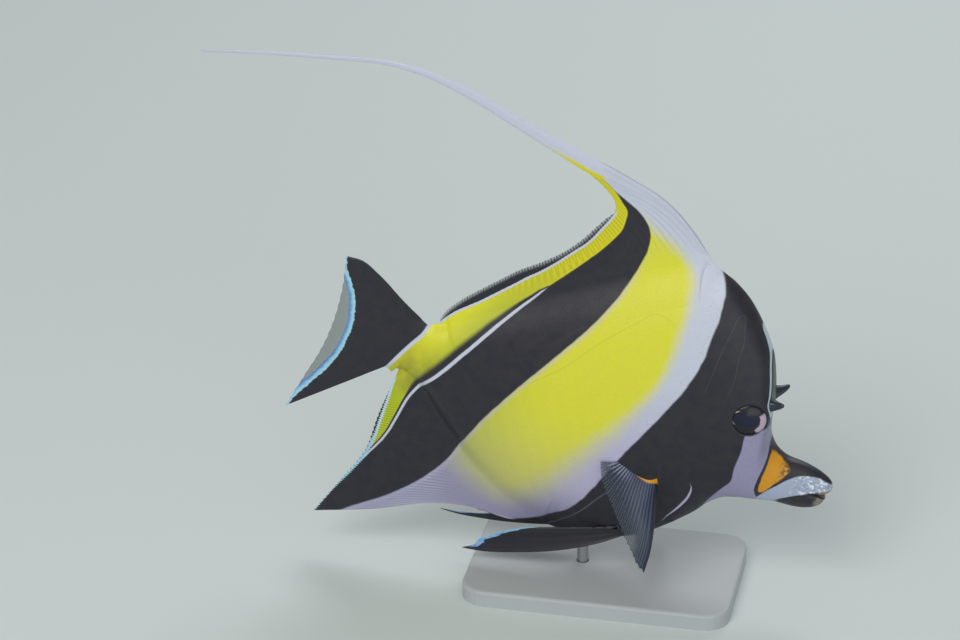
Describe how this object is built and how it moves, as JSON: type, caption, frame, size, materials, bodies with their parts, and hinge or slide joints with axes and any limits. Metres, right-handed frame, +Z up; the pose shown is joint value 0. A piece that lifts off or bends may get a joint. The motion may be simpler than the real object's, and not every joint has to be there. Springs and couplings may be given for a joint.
{
  "type": "moorish idol fish on a display stand",
  "caption": "Life-size still model of a moorish idol fish, deep flat body, long snout, trailing dorsal filament, on a flat display stand with a short rod.",
  "frame": {"origin": "centre of the underside of the stand's base, on the floor", "axes": "+X ahead of the fish, along its length; +Y to its left; +Z up"},
  "size_m": [0.2241, 0.06, 0.1935],
  "materials": {
    "head_skin": "satin painted skin",
    "jaw_skin": "satin painted skin",
    "trunk_skin": "satin painted skin",
    "tail_skin": "satin painted skin",
    "dorsal_membrane": "satin rayed fin",
    "anal_membrane": "satin rayed fin",
    "caudal_membrane": "satin rayed fin",
    "pectoral_membrane": "satin rayed fin",
    "pelvic_membrane": "satin rayed fin",
    "filament_ray": "satin",
    "eye_cornea": "gloss",
    "horn_bone": "satin",
    "stand_base_paint": "satin paint",
    "stand_rod_steel": "brushed"
  },
  "bodies": {
    "root": {"head": "head_skin", "lower_jaw": "jaw_skin", "trunk": "trunk_skin", "tail_peduncle": "tail_skin", "dorsal_fin": "dorsal_membrane", "dorsal_filament_1": "filament_ray", "dorsal_filament_2": "filament_ray", "dorsal_filament_3": "filament_ray", "anal_fin": "anal_membrane", "caudal_fin": "caudal_membrane", "pectoral_fin_right": "pectoral_membrane", "pectoral_fin_left": "pectoral_membrane", "pelvic_fin_right": "pelvic_membrane", "pelvic_fin_left": "pelvic_membrane", "eye_right": "eye_cornea", "eye_left": "eye_cornea", "horn_right": "horn_bone", "horn_left": "horn_bone", "stand_base": "stand_base_paint", "stand_rod": "stand_rod_steel"}
  },
  "joints": []
}
